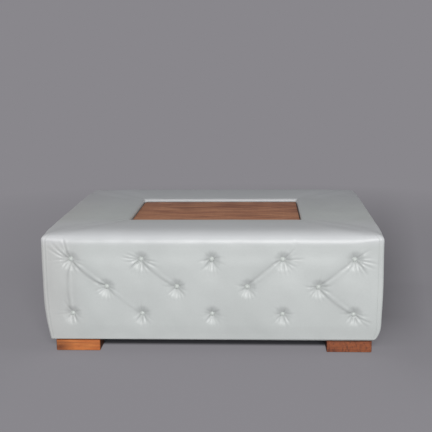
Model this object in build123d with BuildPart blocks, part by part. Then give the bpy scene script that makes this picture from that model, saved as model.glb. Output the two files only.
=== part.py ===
from build123d import *
import os
from math import atan, atan2, cos, degrees, pi, sin, sqrt

# Tufted leather ottoman coffee table with a loose wood board, in millimetres.
# X runs along the table, Y from its front to its back and Z up. The origin is on the floor
# under the middle of the table.

# Overall sizes
length = 1200
depth = 1000
height = 437
foot_height = 42

# Leather and side padding
leather = 1.5
side_foam = 25
edge_foam = 2  # what is left of the side padding at the lower edge
hem = 25  # leather turned under the frame
corner_radius = 14
corner_ease = 0.3  # the round of a corner starts this far outside the flat sides
shoulder_radius = 16
crown = 8  # the top falls this much towards its edges
crown_run = 120
belly_share = 0.45  # the sides are widest at this share of the upholstered height

# Well and board
border = 273  # from the outside of the table to the well
board_thickness = 18
board_recess = 12
board_gap = 3  # round the board
board_edge = 1
seat_gap = 0.3  # under the loose board
lining = 2
rim_radius = 8

# Wood frame
panel = 15
deck = 12
post = 40
base_rail_width = 80
end_rail_width = 60
base_rail_height = 22
cross_rail_width = 22
cross_rail_height = 70
cross_rail_share = 0.32  # of the half length
strip_width = 20
strip_cover = 8  # padding over the strips round the well

# Feet
foot_length = 160
foot_depth = 80
foot_side_inset = 32
foot_front_inset = 20
foot_edge = 2
glide_height = 2
glide_radius = 11
fixing_shares = (0.2, 0.8)  # of the foot's length inside the corner post
screw_radius = 3
screw_head_radius = 6.5
screw_head_height = 4
head_sides = 6
screw_bite = 26  # into the foot
shank_sides = 10

# Buttons and tufts
button_pitch = 250
row_pitch = 100
row_rise = 6  # the middle row above the middle of the upholstered face
end_margin = 80  # the least distance from a button to the end of its face
button_radius = 9.5
button_height = 4.2
button_sides = 12
dome_shares = ((0, 1), (0.4, 1), (1, 0.6))  # of the button's height and radius
tuft_depth = 11
long_pleat = 54  # towards the buttons of the next row
short_pleat = 34  # along its own row
pleat_root = 23  # between two pleats
tuft_seat_share = 0.45
nail_width = 2.4
nail_bite = 11

# Cutting tools run this far past what they cut
overrun = 6

# Places worked out from the sizes above
padding = leather + side_foam
lower_edge = foot_height
frame_bottom = lower_edge + leather
upholstered = height - lower_edge
half_length = length / 2
half_depth = depth / 2
frame_x = half_length - padding
frame_y = half_depth - padding
tuck = side_foam - edge_foam
belly_fall = belly_share * upholstered
belly_line = lower_edge + belly_fall
belly_radius = (belly_fall**2 + tuck**2) / (2 * tuck)
crown_turn = 2 * atan(crown / crown_run)
crown_radius = crown_run / sin(crown_turn)
shoulder_line = height - crown - shoulder_radius * cos(crown_turn)
well_x = half_length - border
well_y = half_depth - border
board_top = height - board_recess
board_bottom = board_top - board_thickness
lining_top = board_bottom - seat_gap
deck_top = lining_top - lining
deck_bottom = deck_top - deck
base_rail_top = frame_bottom + base_rail_height
inner_x = frame_x - panel
inner_y = frame_y - panel
strip_top = height - leather - strip_cover
foot_x = half_length - foot_side_inset - foot_length / 2
foot_y = half_depth - foot_front_inset - foot_depth / 2
middle_row = (lower_edge + height) / 2 + row_rise


def section(half_width, inset):
    """The upright section of the upholstered block, drawn in evenly by an inset."""
    edge = half_width - inset
    sole = lower_edge + inset
    top = height - inset
    belly = belly_radius - inset
    belly_drop = belly_line - sole
    sole_end = half_width - belly_radius + sqrt(belly**2 - belly_drop**2)
    shoulder = shoulder_radius - inset
    crown_start = half_width - shoulder_radius + shoulder * sin(crown_turn)
    crown_end = crown_start - (crown_radius - inset) * sin(crown_turn)
    with BuildSketch() as half:
        with BuildLine():
            Line((0, top), (0, sole))
            Line((0, sole), (sole_end, sole))
            TangentArc((edge, belly_line), (sole_end, sole), tangent=(0, -1))
            Line((edge, belly_line), (edge, shoulder_line))
            roll = JernArc((edge, shoulder_line), (0, 1), shoulder, 90 - degrees(crown_turn))
            TangentArc(roll @ 1, (crown_end, top), tangent=roll % 1)
            Line((crown_end, top), (0, top))
        make_face()
        mirror(about=Plane.YZ)
    return half.sketch


def faceted(low, high):
    """A solid between two like outlines at different heights, with one flat face along each side."""
    sides_between = zip(low, low[1:] + low[:1], high[1:] + high[:1], high)
    return Solid(Shell([Face(Wire.make_polygon(points)) for points in (low, high, *sides_between)]))


def ring(radii, angles, z):
    """The corners of an outline at a height."""
    return [(radius * cos(angle), radius * sin(angle), z) for radius, angle in zip(radii, angles)]


def tuft_pit(rooted=True):
    """What a tuft takes out of the padding: the XY plane is the leather's face, and Z points out."""
    rise = atan2(row_pitch, button_pitch / 2)
    arms = [0, rise, pi - rise, pi, pi + rise, 2 * pi - rise]
    reaches = [short_pleat, long_pleat, long_pleat] * 2
    if rooted:
        roots = [(one + other) / 2 for one, other in zip(arms, arms[1:] + [2 * pi])]
        arms = [angle for pair in zip(arms, roots) for angle in pair]
        reaches = [reach for pleat in reaches for reach in (pleat, pleat_root)]
    spread = 1 + (1 - tuft_seat_share) * overrun / tuft_depth
    seat = ring([tuft_seat_share * reach for reach in reaches], arms, -tuft_depth)
    return faceted(seat, ring([spread * reach for reach in reaches], arms, overrun))


def side_inset(z):
    """How far a side has drawn in at a height under its widest line."""
    fall = max(belly_line - z, 0)
    return belly_radius - sqrt(belly_radius**2 - fall**2)


def rows_on(width):
    """The buttons of one side as (place along it, height), in three staggered rows."""
    count = int((width - 2 * end_margin) / button_pitch) + 1
    places = []
    for row, number in ((-1, count), (0, count - 1), (1, count)):
        start = -(number - 1) * button_pitch / 2
        places += [(start + k * button_pitch, middle_row + row * row_pitch) for k in range(number)]
    return places


def tuft_planes(side, sink=0):
    """The planes of a side's tufts, sunk under the leather's face: Z points out of the table."""
    along, out, reach, width = {
        "front": ((1, 0), (0, -1), half_depth, length),
        "back": ((-1, 0), (0, 1), half_depth, length),
        "left": ((0, -1), (-1, 0), half_length, depth),
        "right": ((0, 1), (1, 0), half_length, depth),
    }[side]
    planes = []
    for place, z in rows_on(width):
        far = reach - side_inset(z) - sink
        origin = (place * along[0] + far * out[0], place * along[1] + far * out[1], z)
        planes.append(Plane(origin, x_dir=(*along, 0), z_dir=(*out, 0)))
    return planes


def padded_block(inset):
    """The upholstered block and its well without tufts, drawn in evenly by an inset."""
    with BuildPart() as block:
        with BuildSketch(Plane.XZ):
            add(section(half_length, inset))
        extrude(amount=half_depth, both=True)
        with BuildSketch(Plane.YZ):
            add(section(half_depth, inset))
        extrude(amount=half_length, both=True, mode=Mode.INTERSECT)
        with BuildSketch():
            ease = corner_ease - inset
            RectangleRounded(length + 2 * ease, depth + 2 * ease, corner_radius - inset)
        extrude(amount=height, mode=Mode.INTERSECT)
        with BuildSketch(Plane.XY.offset(deck_top)):
            Rectangle(2 * (well_x + inset), 2 * (well_y + inset))
        extrude(amount=height - deck_top, mode=Mode.SUBTRACT)
        rim = block.edges().group_by(Axis.Z)[-1]
        rim = rim.filter_by_position(Axis.X, -well_x - rim_radius, well_x + rim_radius)
        rim = rim.filter_by_position(Axis.Y, -well_y - rim_radius, well_y + rim_radius)
        fillet(rim, rim_radius - inset)
    return block.part


def box_between(low, high):
    """A block between two corners."""
    with BuildPart() as block:
        with BuildSketch(Plane.XY.offset(low[2])):
            with Locations(((low[0] + high[0]) / 2, (low[1] + high[1]) / 2)):
                Rectangle(high[0] - low[0], high[1] - low[1])
        extrude(amount=high[2] - low[2])
    return block.part


def save(part, name):
    """Labels a finished piece and writes it out."""
    part.label = name
    export_step(part, f"parts/{name}.step")


sides = ("front", "back", "left", "right")
corners = {"front_left": (-1, -1), "front_right": (1, -1), "back_left": (-1, 1), "back_right": (1, 1)}
os.makedirs("parts", exist_ok=True)

# Leather cover: one skin over the block, turned into the well and under the frame
star_pit = tuft_pit()
with BuildPart() as stuffing:
    add(padded_block(leather))
    add([plane * star_pit for side in sides for plane in tuft_planes(side, leather)], mode=Mode.SUBTRACT)
with BuildPart() as cover:
    add(padded_block(0))
    add([plane * star_pit for side in sides for plane in tuft_planes(side)], mode=Mode.SUBTRACT)
    add(stuffing.part, mode=Mode.SUBTRACT)
    with BuildSketch():
        Rectangle(2 * (frame_x - hem), 2 * (frame_y - hem))
    extrude(amount=frame_bottom, mode=Mode.SUBTRACT)
save(cover.part, "leather_cover")

# Foam: a slab on each side of the frame and four strips round the well
foam_block = padded_block(leather)
foam_pit = tuft_pit(rooted=False)
slabs = {
    "front": ((-half_length, -half_depth, 0), (half_length, -frame_y, deck_top)),
    "back": ((-half_length, frame_y, 0), (half_length, half_depth, deck_top)),
    "left": ((-half_length, -frame_y, 0), (-frame_x, frame_y, deck_top)),
    "right": ((frame_x, -frame_y, 0), (half_length, frame_y, deck_top)),
}
for side, (low, high) in slabs.items():
    with BuildPart() as slab:
        add(foam_block)
        add(box_between(low, high), mode=Mode.INTERSECT)
        add([plane * foam_pit for plane in tuft_planes(side, leather)], mode=Mode.SUBTRACT)
    save(slab.part, f"foam_{side}")

strip_x = well_x + leather + strip_width
strip_y = well_y + leather + strip_width
top_strips = {
    "front": ((-half_length, -half_depth, deck_top), (half_length, -well_y - leather, height)),
    "back": ((-half_length, well_y + leather, deck_top), (half_length, half_depth, height)),
    "left": ((-half_length, -well_y - leather, deck_top), (-well_x - leather, well_y + leather, height)),
    "right": ((well_x + leather, -well_y - leather, deck_top), (half_length, well_y + leather, height)),
}
well_frame = box_between((-strip_x, -strip_y, deck_top), (strip_x, strip_y, strip_top))
for side, (low, high) in top_strips.items():
    with BuildPart() as strip:
        add(foam_block)
        add(box_between(low, high), mode=Mode.INTERSECT)
        add(well_frame, mode=Mode.SUBTRACT)
    save(strip.part, f"foam_top_{side}")

# Wood frame round the well, under the leather
wall_x = well_x + leather
wall_y = well_y + leather
well_strips = {
    "front": ((-strip_x, -strip_y, deck_top), (strip_x, -wall_y, strip_top)),
    "back": ((-strip_x, wall_y, deck_top), (strip_x, strip_y, strip_top)),
    "left": ((-strip_x, -wall_y, deck_top), (-wall_x, wall_y, strip_top)),
    "right": ((wall_x, -wall_y, deck_top), (strip_x, wall_y, strip_top)),
}
for side, (low, high) in well_strips.items():
    save(box_between(low, high), f"well_strip_{side}")
save(box_between((-well_x, -well_y, deck_top), (well_x, well_y, lining_top)), "well_lining")

# Plywood panels and deck
save(box_between((-frame_x, -frame_y, deck_bottom), (frame_x, frame_y, deck_top)), "deck_panel")
panels = {
    "front": ((-frame_x, -frame_y, frame_bottom), (frame_x, -inner_y, deck_bottom)),
    "back": ((-frame_x, inner_y, frame_bottom), (frame_x, frame_y, deck_bottom)),
    "left": ((-frame_x, -inner_y, frame_bottom), (-inner_x, inner_y, deck_bottom)),
    "right": ((inner_x, -inner_y, frame_bottom), (frame_x, inner_y, deck_bottom)),
}
for side, (low, high) in panels.items():
    save(box_between(low, high), f"panel_{side}")

# Base rails, which carry the feet, and the corner posts that stand on them
rail_y = inner_y - base_rail_width
rail_x = inner_x - end_rail_width
base_rails = {
    "front": ((-inner_x, -inner_y, frame_bottom), (inner_x, -rail_y, base_rail_top)),
    "back": ((-inner_x, rail_y, frame_bottom), (inner_x, inner_y, base_rail_top)),
    "left": ((-inner_x, -rail_y, frame_bottom), (-rail_x, rail_y, base_rail_top)),
    "right": ((rail_x, -rail_y, frame_bottom), (inner_x, rail_y, base_rail_top)),
}
for side, (low, high) in base_rails.items():
    save(box_between(low, high), f"base_rail_{side}")
for corner, (x, y) in corners.items():
    with BuildPart() as corner_post:
        with BuildSketch(Plane.XY.offset(base_rail_top)):
            with Locations((x * (inner_x - post / 2), y * (inner_y - post / 2))):
                Rectangle(post, post)
        extrude(amount=deck_bottom - base_rail_top)
    save(corner_post.part, f"post_{corner}")

# Two rails on edge under the deck
cross_rail_x = cross_rail_share * half_length
for side, x in (("left", -cross_rail_x), ("right", cross_rail_x)):
    with BuildPart() as cross_rail:
        with BuildSketch(Plane.XY.offset(deck_bottom - cross_rail_height)):
            with Locations((x, 0)):
                Rectangle(cross_rail_width, 2 * inner_y)
        extrude(amount=cross_rail_height)
    save(cross_rail.part, f"cross_rail_{side}")

# Cloth that closes the underside inside the leather's hem
hem_x = frame_x - hem
hem_y = frame_y - hem
save(box_between((-hem_x, -hem_y, lower_edge), (hem_x, hem_y, frame_bottom)), "dust_cloth")

# Feet, each a block with a glide under it
for corner, (x, y) in corners.items():
    with BuildPart() as foot:
        with BuildSketch(Plane.XY.offset(glide_height)):
            with Locations((x * foot_x, y * foot_y)):
                Rectangle(foot_length, foot_depth)
        extrude(amount=foot_height - glide_height)
        top_face = foot.faces().sort_by(Axis.Z)[-1]
        chamfer([edge for edge in foot.edges() if edge not in top_face.edges()], foot_edge)
    save(foot.part, f"foot_{corner}")
with BuildPart() as glides:
    with BuildSketch():
        with Locations(*[(x * foot_x, y * foot_y) for x, y in corners.values()]):
            Circle(glide_radius)
    extrude(amount=glide_height)
save(glides.part, "glides")

# Coach screws from each base rail down into the foot, clear of the corner post
foot_start = foot_x - foot_length / 2
foot_room = inner_x - post - foot_start
fixing_y = (inner_y + foot_y - foot_depth / 2) / 2
fixings = [
    (x * (foot_start + share * foot_room), y * fixing_y)
    for x, y in corners.values()
    for share in fixing_shares
]
with BuildPart() as foot_screws:
    with BuildSketch(Plane.XY.offset(base_rail_top)):
        with Locations(*fixings):
            RegularPolygon(screw_head_radius, side_count=head_sides)
    extrude(amount=screw_head_height)
    with BuildSketch(Plane.XY.offset(foot_height - screw_bite)):
        with Locations(*fixings):
            RegularPolygon(screw_radius, side_count=shank_sides)
    extrude(amount=base_rail_top - foot_height + screw_bite)
save(foot_screws.part, "foot_screws")

# Buttons: a leather-covered dome on a square nail driven into the panel
button_angles = [2 * pi * k / button_sides for k in range(button_sides)]
levels = [
    ring([radius_share * button_radius] * button_sides, button_angles, rise_share * button_height)
    for rise_share, radius_share in dome_shares
]
with BuildPart() as button:
    add([faceted(low, high) for low, high in zip(levels, levels[1:])])
    with BuildSketch():
        Rectangle(nail_width, nail_width)
    extrude(amount=-(padding - tuft_depth + nail_bite))
for side in sides:
    with BuildPart() as buttons:
        add([plane * button.part for plane in tuft_planes(side, tuft_depth)])
    save(buttons.part, f"buttons_{side}")

# Board, loose in the well
with BuildPart() as board:
    with BuildSketch(Plane.XY.offset(board_bottom)):
        Rectangle(2 * (well_x - board_gap), 2 * (well_y - board_gap))
    extrude(amount=board_thickness)
    chamfer(board.edges(), board_edge)
save(board.part, "board")
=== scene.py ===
# %% [markdown]
# # A tufted leather coffee table
# The object is a low padded block. One skin of pale grey-green leather is pulled over foam, drawn in at
# fifty covered buttons, turned down into a shallow well and stapled under the frame. A loose wood board
# lies in the well, and four wood blocks carry it all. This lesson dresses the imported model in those
# materials, one piece at a time. Everything is in metres, with the origin on the floor under the middle.

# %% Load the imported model
from math import atan2, cos, exp, hypot, pi, radians, sin

import bpy
import numpy as np
from mathutils import Matrix, Vector


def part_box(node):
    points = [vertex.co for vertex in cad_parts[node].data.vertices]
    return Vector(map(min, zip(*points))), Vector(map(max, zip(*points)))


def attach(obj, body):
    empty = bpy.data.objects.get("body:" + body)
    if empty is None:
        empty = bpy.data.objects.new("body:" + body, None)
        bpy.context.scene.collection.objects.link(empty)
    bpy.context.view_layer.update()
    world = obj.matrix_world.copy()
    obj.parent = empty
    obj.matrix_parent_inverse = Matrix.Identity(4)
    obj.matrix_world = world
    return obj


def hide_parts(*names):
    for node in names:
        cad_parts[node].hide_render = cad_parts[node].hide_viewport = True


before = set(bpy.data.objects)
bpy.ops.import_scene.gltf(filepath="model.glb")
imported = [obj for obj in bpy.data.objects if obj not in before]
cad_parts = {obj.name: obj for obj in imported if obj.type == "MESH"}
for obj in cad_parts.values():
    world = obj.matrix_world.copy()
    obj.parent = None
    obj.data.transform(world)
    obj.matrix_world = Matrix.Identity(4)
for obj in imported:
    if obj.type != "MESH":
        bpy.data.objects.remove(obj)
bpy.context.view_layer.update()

# %% [markdown]
# ## Sizes
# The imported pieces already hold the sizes, so they are measured, not typed again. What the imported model
# can't say, such as how round a corner is, is named here once.

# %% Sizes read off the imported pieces
cover_low, cover_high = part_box("leather_cover")
_, board_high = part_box("board")
lining_low, lining_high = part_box("well_lining")
_, frame_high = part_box("deck_panel")
strip_low, strip_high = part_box("well_strip_front")
_, hem_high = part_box("dust_cloth")

half_x, half_y = cover_high.x, cover_high.y
sole, top = cover_low.z, cover_high.z
well_x, well_y = lining_high.x, lining_high.y
deck_top = lining_low.z
hem_in = half_x - hem_high.x
frame_in = half_x - frame_high.x
strip_in = half_y + strip_low.y
border = half_x - well_x
print(f"cover {2 * half_x:.3f} x {2 * half_y:.3f} x {top:.3f} m, well {2 * well_x:.3f} x {2 * well_y:.3f} m")

# %% Sizes of the leather's shape
MM = 0.001
belly_line = sole + 0.45 * (top - sole)
tuck = 23 * MM
corner_radius, lower_round, rim_radius = 12 * MM, 8 * MM, 8 * MM
long_sides = dict(start=top - 36 * MM, shoulder=37 * MM, slope=radians(40), fade=25 * MM)
short_sides = dict(start=top - 13 * MM, shoulder=11 * MM, slope=radians(2.5), fade=45 * MM)
shoulder_line, bend_line = long_sides["start"], 0.345
hem_radius, roll_radius, low_radius, well_radius = 6 * MM, 7 * MM, 8 * MM, 5 * MM
strip_radius, frame_radius = 3 * MM, 0.6 * MM
hem_thick, rim_thick = 1.4 * MM, 1.3 * MM
off_deck, off_frame, off_strip = 0.3 * MM, 0.3 * MM, 0.4 * MM
tuft_depth, tuft_reach, near_tuft, crease_start = 11 * MM, 100 * MM, 24 * MM, 5 * MM
button_pitch, row_pitch = 0.25, 0.1
middle_row = (sole + top) / 2 + 6 * MM
seam_in = 14 * MM
seed = 12

# %% [markdown]
# ## Small sums
# Most steps blend something in over a distance, so three short functions say how far along a value has
# come. Low may be the larger number, and then the share grows as the value falls.


# %% How far along a value is
def within(value, low, high):
    """How far a value has come from low to high, from 0 to 1."""
    return np.clip((value - low) / (high - low), 0, 1)


def smooth(value, low, high):
    """The same with a soft start and a soft end."""
    share = within(value, low, high)
    return share * share * (3 - 2 * share)


def hump(away, width):
    """A soft hump that is 1 in its middle."""
    return np.exp(-((away / width) ** 2))


# %% [markdown]
# ## The leather's section
# The leather starts at its stapled hem under the frame, comes up the drawn-in side, rolls over the shoulder,
# crosses the slightly crowned top, rolls over the rim and drops into the well. Behind it lie the foam and
# the frame. The section is a closed line of points: distance in from the outside, height, and how round
# the block's corner is there. Swept round the plan it makes one closed padded piece. A box with a bevel would
# have been quicker, but its corners would all be equally round, and the net would not follow the folds.


# %% Spacing that is fine near chosen places
def stations(start, end, centres, fine, coarse):
    """Places from start to end, a fine step apart near the centres and a coarse one elsewhere."""
    walk = np.linspace(start, end, 4000)
    away = np.min([np.abs(walk - centre) for centre in centres], axis=0)
    density = 1 / (fine + (coarse - fine) * within(away, near_tuft, 1.6 * near_tuft))
    total = np.concatenate([[0], np.cumsum((density[1:] + density[:-1]) / 2 * np.diff(walk))])
    count = int(np.ceil(total[-1]))
    return np.interp(np.linspace(0, total[-1], count + 1), total, walk)


row_heights = [middle_row - row_pitch, middle_row, middle_row + row_pitch]
fall = belly_line - sole
belly_radius = (fall**2 + tuck**2) / (2 * tuck)


def side_inset(z):
    """How far the side has drawn in at a height below its widest line."""
    return belly_radius - np.sqrt(belly_radius**2 - np.maximum(belly_line - z, 0) ** 2)


print("rows of buttons at:", [round(z, 3) for z in row_heights])


# %% The section, as rows of (distance in, height, corner radius, part of the leather)
def outer_rows(fine, coarse, shape):
    """From the hem up the side and over the shoulder."""
    hem = [(hem_in, sole + hem_thick), (hem_in, sole + 0.2 * MM), (hem_in - 0.6 * MM, sole)]
    hem += [(inward * MM, sole) for inward in (44, 38, 32)]
    rows = [(inward, z, hem_radius, "hem") for inward, z in hem]
    low_in = float(side_inset(sole + lower_round))
    for turn in np.linspace(0, pi / 2, 6)[:-1]:
        spot = (low_in + lower_round * (1 - sin(turn)), sole + lower_round * (1 - cos(turn)))
        rows.append((*spot, roll_radius, "hem" if turn < 0.5 else "side"))
    start, shoulder, slope = shape["start"], shape["shoulder"], shape["slope"]
    heights = stations(sole + lower_round, shoulder_line, row_heights, fine, coarse)
    lifted = bend_line + (heights - bend_line) * (start - bend_line) / (shoulder_line - bend_line)
    for z in np.where(heights > bend_line, lifted, heights):
        radius = low_radius + (corner_radius - low_radius) * within(z, sole, sole + 0.15)
        rows.append((float(side_inset(z)), float(z), float(radius), "side"))
    for turn in np.linspace(0, pi / 2 - slope, 12)[1:]:
        rows.append((shoulder * (1 - cos(turn)), start + shoulder * sin(turn), corner_radius, "side"))
    return rows


def section_rows(fine, coarse, shape):
    """The closed section of a side, from the hem up, over the top, into the well and back behind."""
    rows = outer_rows(fine, coarse, shape)
    crown_start, crown_low = rows[-1][:2]
    across = border - rim_radius - crown_start
    rise = shape["slope"] * shape["fade"]
    puff = crown_low + rise - top
    near_edge, near_rim = 0.45 * np.linspace(0, 1, 17)[1:] ** 1.5, np.linspace(0.45, 1, 14)[1:]
    for share in np.concatenate([near_edge, near_rim]):
        z = crown_low + rise * (1 - exp(-share * across / shape["fade"])) - puff * share**1.6
        radius = corner_radius + share * (well_radius - corner_radius)
        rows.append((crown_start + share * across, z, radius, "top"))
    for turn in np.linspace(0, pi / 2, 7)[1:]:
        spot = (border - rim_radius * (1 - sin(turn)), top - rim_radius * (1 - cos(turn)))
        rows.append((*spot, well_radius, "rim"))
    on_deck, over_strip = deck_top + off_deck, strip_high.z + off_strip
    in_well = (top - 14 * MM, top - 22 * MM, deck_top + 1.2 * MM, on_deck)
    rows += [(border, z, well_radius, "rim") for z in in_well]
    behind, beside = border - rim_thick, strip_in - off_strip
    round_strip = [(behind, on_deck), (behind, over_strip), (beside, over_strip), (beside, on_deck)]
    rows += [(inward, z, strip_radius, "back") for inward, z in round_strip]
    down_frame = (on_deck, 0.3, 0.2, 0.1, sole + hem_thick)
    return rows + [(frame_in - off_frame, z, frame_radius, "back") for z in down_frame]


# %% [markdown]
# ## Round the plan
# Each side of the plan has its own stations, fine near the button columns. The four corners are arcs. A
# column is a share of its side's straight run, or an angle in a corner, so that every row of the section
# can have its own width and its own corner radius.

# %% Columns round the plan
sides = {
    "front": dict(along=(1, 0), out=(0, -1), width=half_x, reach=half_y),
    "right": dict(along=(0, 1), out=(1, 0), width=half_y, reach=half_x),
    "back": dict(along=(-1, 0), out=(0, 1), width=half_x, reach=half_y),
    "left": dict(along=(0, -1), out=(-1, 0), width=half_y, reach=half_x),
}
end_margins = 0.16


def tuft_places(side):
    """The buttons of one side: (row name, number from the middle, place along the side, height)."""
    count = int((2 * sides[side]["width"] - end_margins) / button_pitch) + 1
    places = []
    for name, z, number in zip(("low", "middle", "high"), row_heights, (count, count - 1, count)):
        for k in range(number):
            steps = k - (number - 1) / 2
            places.append((name, steps, steps * button_pitch, z))
    return places


def columns(fine, coarse, arc_steps=10):
    """For each column: its side's number, share of the straight run and angle in the corner."""
    found = []
    for number, (name, side) in enumerate(sides.items()):
        straight = side["width"] - corner_radius
        centres = [place for _, _, place, _ in tuft_places(name)]
        if name in ("front", "back"):
            centres += [seam_in - side["width"], side["width"] - seam_in]
        near, far = (fine, coarse) if name == "front" else (1.25 * fine, 1.3 * coarse)
        spots = stations(-straight, straight, centres, near, far)
        # An even count of stations on every side keeps the net's columns even, as join_rows needs.
        if len(spots) % 2:
            shares, wanted = np.linspace(0, 1, len(spots)), np.linspace(0, 1, len(spots) + 1)
            spots = np.interp(wanted, shares, spots)
        found += [(number, spot / straight, 0.0) for spot in spots[:-1]]
        found += [(number, 1.0, angle) for angle in np.linspace(0, pi / 2, arc_steps + 1)[:-1]]
    return np.array(found)


print("buttons:", {name: len(tuft_places(name)) for name in sides})


# %% The net of points
def of_rows(rows, part):
    """One number of every row, as a column: 0 is the distance in, 1 the height, 2 the corner radius."""
    return np.array([row[part] for row in rows])[:, None]


def lay_out(fine, coarse, cols):
    """Every point of the net: rows x columns x 3, each point's place along its side, and the rows."""
    long_rows, end_rows = (section_rows(fine, coarse, shape) for shape in (long_sides, short_sides))
    which, share, angle = cols[:, 0].astype(int), cols[:, 1], cols[:, 2]
    plan = list(sides.values())
    own = [plan[number] for number in which]
    along, out, width, reach = (
        np.array([side[key] for side in own], float) for key in ("along", "out", "width", "reach")
    )
    from_corner = np.where(angle > 0, 0, smooth(width * (1 - np.abs(share)), 0, 110 * MM))
    end_share = np.where(which % 2 == 0, 0.5 - 0.5 * from_corner, 0.5 + 0.5 * from_corner)
    inward, z = (
        of_rows(long_rows, part) * (1 - end_share) + of_rows(end_rows, part) * end_share for part in (0, 1)
    )
    radius = of_rows(long_rows, 2)
    corner_in = (of_rows(long_rows, 0) + of_rows(end_rows, 0)) / 2
    straight = share * (width - corner_in - radius)
    run = straight + radius * np.sin(angle)
    rise = reach - inward - radius + radius * np.cos(angle)
    flat = run[..., None] * along + rise[..., None] * out
    return np.concatenate([flat, z[..., None]], axis=2), straight + radius * angle, long_rows


def outward(points):
    """The unit normal at every point of a net that closes both ways."""
    along_row = np.roll(points, -1, axis=1) - np.roll(points, 1, axis=1)
    up_section = np.roll(points, -1, axis=0) - np.roll(points, 1, axis=0)
    normal = np.cross(along_row, up_section)
    return normal / np.maximum(np.linalg.norm(normal, axis=2, keepdims=True), 1e-12)


def climb(rows):
    """How far along the leather each row lies above the lower edge."""
    steps = [hypot(after[0] - row[0], after[1] - row[1]) for row, after in zip(rows, rows[1:])]
    total = np.cumsum([0.0, *steps])
    return total - total[[row[3] for row in rows].index("side")]


fine_step, coarse_step = 2.5 * MM, 4.2 * MM
cols = columns(fine_step, coarse_step)
net, place, rows = lay_out(fine_step, coarse_step, cols)
print("net:", net.shape[0], "rows x", net.shape[1], "columns")

# %% [markdown]
# ## Tufts and creases
# A tuft is a cone pressed into the padding round its button. From it the leather runs out in short creases,
# each a groove with a soft ridge on both sides, which fades as it goes. Some creases reach the next tuft
# and become long bowed folds. The front's are placed one by one, at the angle and length that the leather
# shows there. The other sides get creases of their own from a fixed seed, by the same rule.


# %% One crease, one fold and one tuft
def by_line(x, y, start, angle, length, bow):
    """Points' share of the way along a bowed line, that share kept in 0 to 1, and how far off it."""
    ahead = ((x - start[0]) * cos(angle) + (y - start[1]) * sin(angle)) / length
    inside = np.clip(ahead, 0, 1)
    across = (y - start[1]) * cos(angle) - (x - start[0]) * sin(angle) - bow * 4 * inside * (1 - inside)
    return ahead, inside, across


def crease(x, y, start, angle, length, depth, bow):
    """A groove with a soft ridge on both sides, which leaves a tuft at an angle and fades out."""
    ahead, inside, across = by_line(x, y, start, angle, length, bow)
    width = (2.0 + 2.4 * inside) * MM
    ridges = 0.45 * hump(np.abs(across) - 2.2 * width, 1.2 * width)
    return depth * within(ahead, 0, 0.14) * (1 - inside) ** 0.9 * (ridges - hump(across, width))


def fold(x, y, start, end, depth, bow, lift):
    """A long pleat between two tufts: a ridge with a groove beside it, above it where lift is -1."""
    run, rise = end[0] - start[0], end[1] - start[1]
    ahead, inside, across = by_line(x, y, start, atan2(rise, run), hypot(run, rise), bow)
    ends_off = within(ahead, 0.04, 0.12) * within(ahead, 0.96, 0.88)
    middle = 1 - np.abs(2 * inside - 1)
    width = (3.2 + 1.6 * middle) * MM
    ridge = 0.75 * hump(across * lift - 1.3 * width, 1.5 * width)
    pleat = ridge - 0.8 * hump(across * lift + 1.1 * width, width)
    valley = -hump(across, 20 * MM)
    return depth * ends_off * ((1 - 0.6 * middle) * pleat + 0.4 * valley)


def pit(x, y, start):
    """The cone that a button presses: long and even below it, where the leather hangs, steeper above."""
    away = np.hypot(x - start[0], y - start[1])
    below = np.clip((start[1] - y) / np.maximum(away, 1e-6), 0, 1) ** 2
    beyond = smooth(away, 6 * MM, 36 * MM + 10 * MM * below)
    near = np.exp(-np.maximum(away - 7 * MM, 0) / (7 * MM))
    return -tuft_depth * (0.78 * (1 - beyond) ** 1.15 + 0.22 * near)


def fan(centre, spread, length, depth, count=6):
    """A fan of small creases: a list of (angle in degrees, length in mm, depth in mm)."""
    return [(centre + spread * (k / (count - 1) - 0.5), length, depth) for k in range(count)]


# %% The front's creases, by row and number from the middle: (angle, length mm, depth mm)
front_creases = {
    ("high", -2): [
        (106, 84, 3.0), (122, 60, 1.5), (139, 80, 3.2), (154, 84, 2.4),
        (182, 80, 0.9), (198, 50, 0.8), (-25, 50, 1.4),
    ],
    ("high", -1): [
        (158, 60, 1.6), (171, 66, 2.2), (187, 58, 1.8), (222, 58, 2.8), (-10, 60, 1.6), (-25, 66, 2.2),
    ],
    ("high", 0): [(226, 52, 2.3), (187, 45, 1.6), (12, 42, 1.4), (-22, 50, 1.5), (-35, 50, 1.3)],
    ("high", 1): [(47, 62, 1.9), (3, 75, 1.5), (-10, 50, 1.2), (-28, 55, 1.4), (205, 45, 1.5)],
    ("high", 2): [
        (33, 60, 1.6), (45, 45, 1.2), (8, 55, 1.4), (-11, 80, 2.0), (-25, 75, 1.8), (-52, 70, 3.0),
    ],
    ("middle", -1.5): [(155, 50, 2.0), (163, 46, 1.2), (200, 45, 0.8), (0, 30, 1.0)],
    ("middle", -0.5): [(-20, 45, 0.9), (160, 30, 0.9), (25, 30, 0.8)],
    ("middle", 0.5): [(166, 45, 1.6), (205, 45, 1.4), (15, 32, 0.9)],
    ("middle", 1.5): [(170, 50, 1.4), (180, 45, 1.2), (205, 45, 1.4), (8, 42, 1.3), (-20, 45, 1.4)],
    ("low", -2): [(118, 55, 1.8), (185, 60, 0.9), (20, 34, 0.8)],
    ("low", -1): [(150, 32, 0.8), (30, 32, 0.8)],
    ("low", 0): [(140, 34, 1.0), (90, 30, 1.2), (40, 34, 1.0)],
    ("low", 1): [(0, 38, 0.8), (180, 38, 0.8), (60, 30, 0.8)],
    ("low", 2): [(-5, 45, 1.4), (-28, 62, 3.0), (-48, 62, 2.4), (175, 50, 1.3)],
}
fans = {"high": fan(266, 88, 52, 1.9), "middle": fan(262, 92, 48, 1.7), "low": fan(265, 84, 44, 1.5)}

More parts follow.
